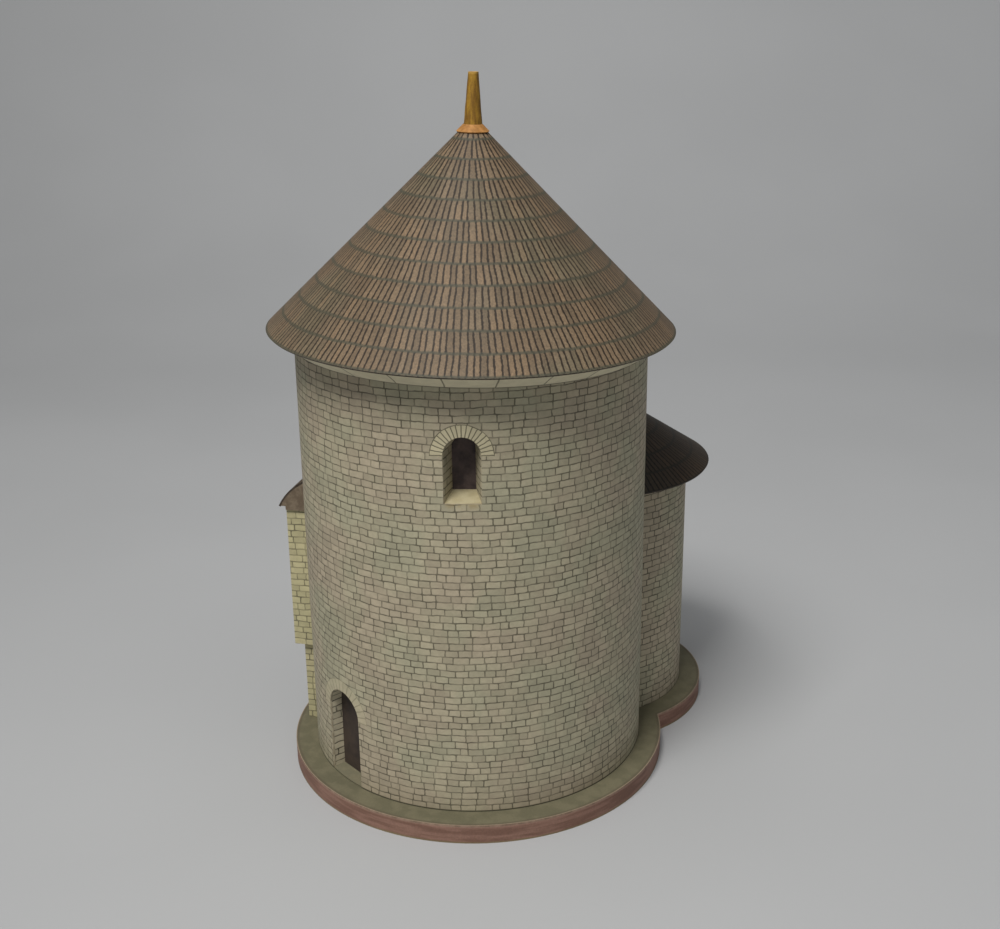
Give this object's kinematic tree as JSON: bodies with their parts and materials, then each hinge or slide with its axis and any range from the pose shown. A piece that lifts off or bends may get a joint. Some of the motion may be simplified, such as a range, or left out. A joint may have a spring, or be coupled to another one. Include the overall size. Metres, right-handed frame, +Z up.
{
  "type": "card model of a rotunda",
  "caption": "Scale card model of a round stone church: cylindrical nave under a conical tiled roof, with an apse and a small oriel on a pier, on a low base board.",
  "frame": {"origin": "on the nave's axis, at the underside of the base", "axes": "+Z up; -Y towards the doorway's side, +Y towards the apse"},
  "size_m": [0.0599, 0.0759, 0.1052],
  "materials": {
    "base_board": "raw grey board",
    "base_edge_print": "matte printed card",
    "ground_print": "matte printed card",
    "stone_print": "matte printed card",
    "dark_print": "matte printed card",
    "threshold_print": "matte printed card",
    "cream_print": "matte printed card",
    "lining_print": "matte printed card",
    "cornice_print": "matte printed card",
    "tile_print": "matte printed card",
    "collar_print": "matte printed card",
    "spike_paper": "rolled coloured paper",
    "apse_stone_print": "matte printed card",
    "apse_tile_print": "matte printed card",
    "oriel_tile_print": "matte printed card",
    "oriel_stone_print": "matte printed card"
  },
  "bodies": {
    "root": {"base_core": "base_board", "base_edge": "base_edge_print", "base_cover": "ground_print", "nave_wall_front": "stone_print", "nave_wall_right": "stone_print", "nave_wall_back_right": "stone_print", "nave_wall_behind_apse": "stone_print", "nave_wall_back_left": "stone_print", "nave_wall_behind_oriel": "stone_print", "nave_wall_left": "stone_print", "nave_wall_over_door": "stone_print", "nave_wall_over_window": "stone_print", "nave_wall_under_window": "stone_print", "door_jamb_left": "lining_print", "door_jamb_right": "lining_print", "door_arch": "lining_print", "door_threshold": "threshold_print", "door_panel": "dark_print", "window_jamb_left": "lining_print", "window_jamb_right": "lining_print", "window_arch": "lining_print", "window_sill": "cream_print", "window_panel": "dark_print", "cornice": "cornice_print", "nave_roof": "tile_print", "finial_collar": "collar_print", "finial_spike": "spike_paper", "apse_wall_right": "apse_stone_print", "apse_wall_end": "apse_stone_print", "apse_wall_left": "apse_stone_print", "apse_roof": "apse_tile_print", "oriel_front": "oriel_stone_print", "oriel_side_left": "oriel_stone_print", "oriel_side_right": "oriel_stone_print", "oriel_floor": "oriel_stone_print", "oriel_gable_left": "oriel_tile_print", "oriel_gable_right": "oriel_tile_print", "oriel_roof": "oriel_tile_print", "pier_front": "oriel_stone_print", "pier_side_left": "oriel_stone_print", "pier_side_right": "oriel_stone_print"}
  },
  "joints": []
}
